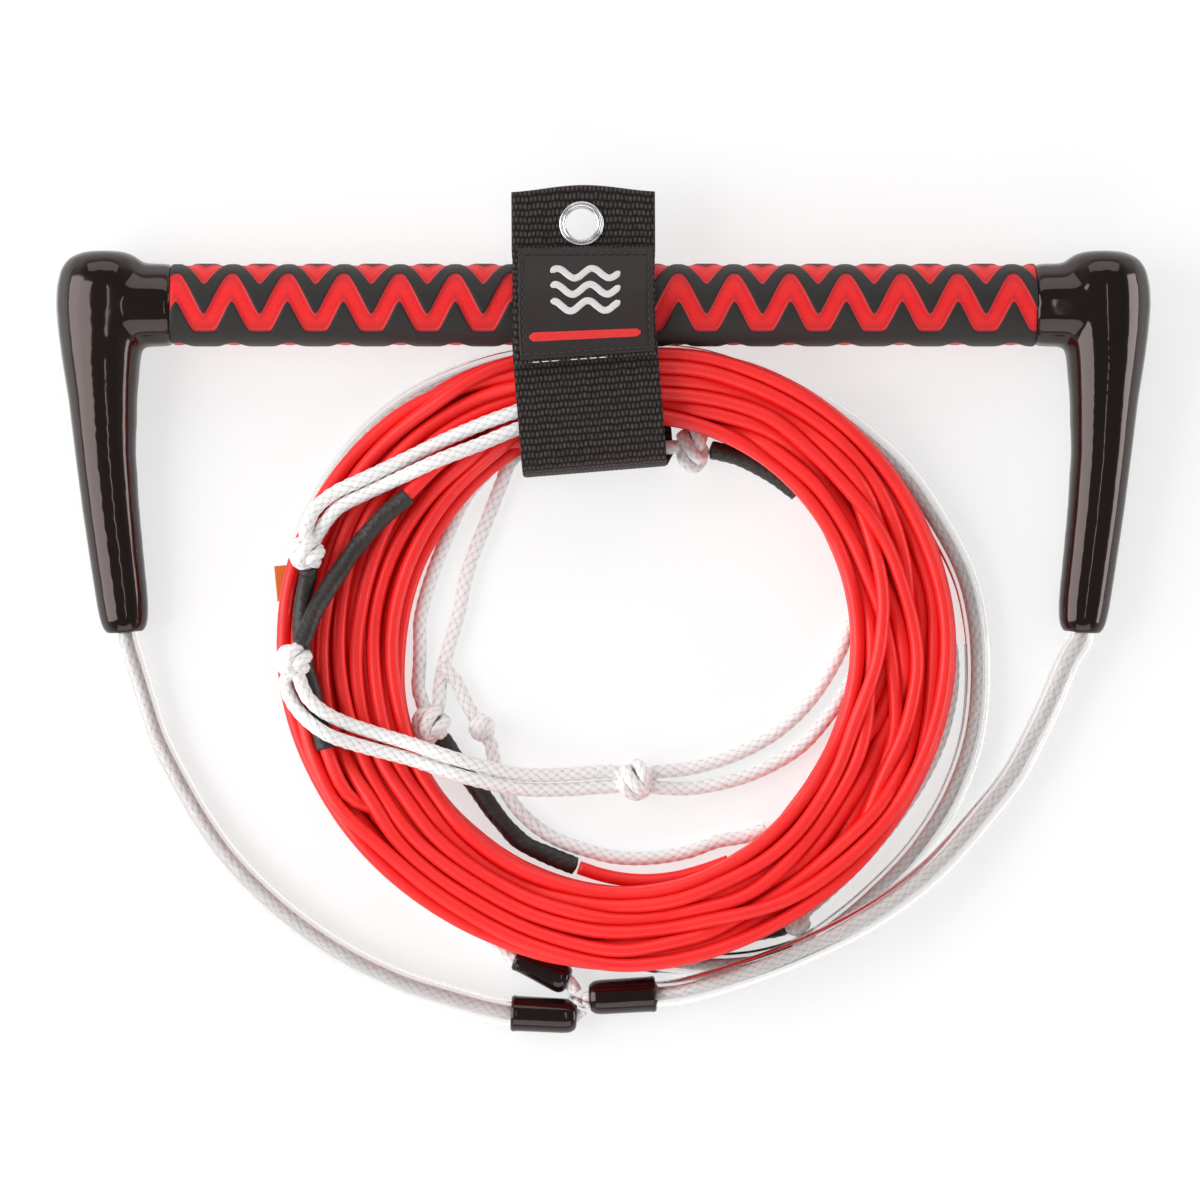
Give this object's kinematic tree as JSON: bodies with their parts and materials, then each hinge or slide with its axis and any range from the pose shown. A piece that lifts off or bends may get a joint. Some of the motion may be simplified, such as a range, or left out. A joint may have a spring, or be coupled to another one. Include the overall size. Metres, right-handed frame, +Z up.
{
  "type": "tow rope handle",
  "caption": "Tow rope handle: foam-covered grip bar, moulded ends, bridle in clear tubing, coiled line with white loop ropes, and a webbing keeper strap with a grommet.",
  "frame": {"origin": "on the resting surface, under the middle of the grip, on the underside of the keeper strap", "axes": "+X along the grip bar, +Y away from the bridle, +Z up from the surface it lies on"},
  "size_m": [0.3822, 0.2964, 0.0414],
  "materials": {
    "aluminium": "satin drawn tube",
    "bright_metal": "bright nickel plate",
    "red_foam": "red EVA foam with a fine knurl",
    "black_foam": "black EVA foam with a fine knurl, cut in a zigzag",
    "grey_foam": "closed-cell foam",
    "black_vinyl": "dipped soft vinyl, glossy",
    "black_shrink": "heat-shrink sleeve",
    "clear_tubing": "clear flexible tubing",
    "white_rope": "hollow-braid polyethylene rope",
    "red_line": "smooth hollow-braid polyethylene line, slightly glossy",
    "webbing": "woven nylon webbing",
    "label_cloth": "woven label cloth",
    "hook_tape": "hook-and-loop tape",
    "orange_tag": "orange tag"
  },
  "bodies": {
    "handle": {"handle_tube": "aluminium", "grip_core": "red_foam", "grip_cover": "black_foam", "end_cap_left": "black_vinyl", "end_cap_right": "black_vinyl", "float_plug_left": "grey_foam", "float_plug_right": "grey_foam", "stopper_knot_left": "white_rope", "stopper_knot_right": "white_rope", "bridle_rope_left": "white_rope", "bridle_rope_right": "white_rope", "bridle_tube_left": "clear_tubing", "bridle_tube_right": "clear_tubing", "junction_sleeve_left": "black_vinyl", "junction_sleeve_right": "black_vinyl", "junction_sleeve_line": "black_vinyl", "junction_knot": "white_rope", "handle_line_rope": "white_rope", "handle_line_tube": "clear_tubing", "handle_line_knot": "white_rope", "mainline_coil": "red_line", "red_line_end": "red_line", "line_tag": "orange_tag", "keeper_strap": "webbing", "grommet": "bright_metal", "grommet_washer": "bright_metal", "loop_rope_1a": "white_rope", "loop_rope_1b": "white_rope", "loop_rope_2a": "white_rope", "loop_rope_2b": "white_rope", "loop_rope_3a": "white_rope", "loop_rope_3b": "white_rope", "loop_rope_4a": "white_rope", "loop_rope_4b": "white_rope", "loop_rope_5a": "white_rope", "loop_rope_5b": "white_rope", "loop_rope_7": "white_rope", "loop_knot_1": "white_rope", "loop_knot_2": "white_rope", "loop_knot_3": "white_rope", "loop_knot_4": "white_rope", "loop_knot_5": "white_rope", "loop_knot_6": "white_rope", "loop_knot_7": "white_rope", "shrink_sleeve_1": "black_shrink", "shrink_sleeve_2": "black_shrink", "shrink_sleeve_4": "black_shrink", "shrink_sleeve_6": "black_shrink", "shrink_sleeve_7": "black_shrink"},
    "keeper_flap": {"keeper_flap": "webbing", "keeper_label": "label_cloth", "hook_pad": "hook_tape"},
    "keeper_tail": {"keeper_tail": "webbing", "loop_pad": "hook_tape"}
  },
  "joints": [
    {"name": "flap", "type": "hinge", "parent": "handle", "child": "keeper_flap", "pos_m": [-0.00561, 0.01829, 0.0283], "axis": [-0.9995, -0.0305, 0], "range_deg": [0, 130]},
    {"name": "tail", "type": "hinge", "parent": "handle", "child": "keeper_tail", "pos_m": [-0.0033, -0.05727, 0.0139], "axis": [0.9995, 0.0305, 0], "range_deg": [0, 80]}
  ],
  "couplings": [
    {"joint": "tail", "follows": "flap", "ratio": 0.6}
  ]
}
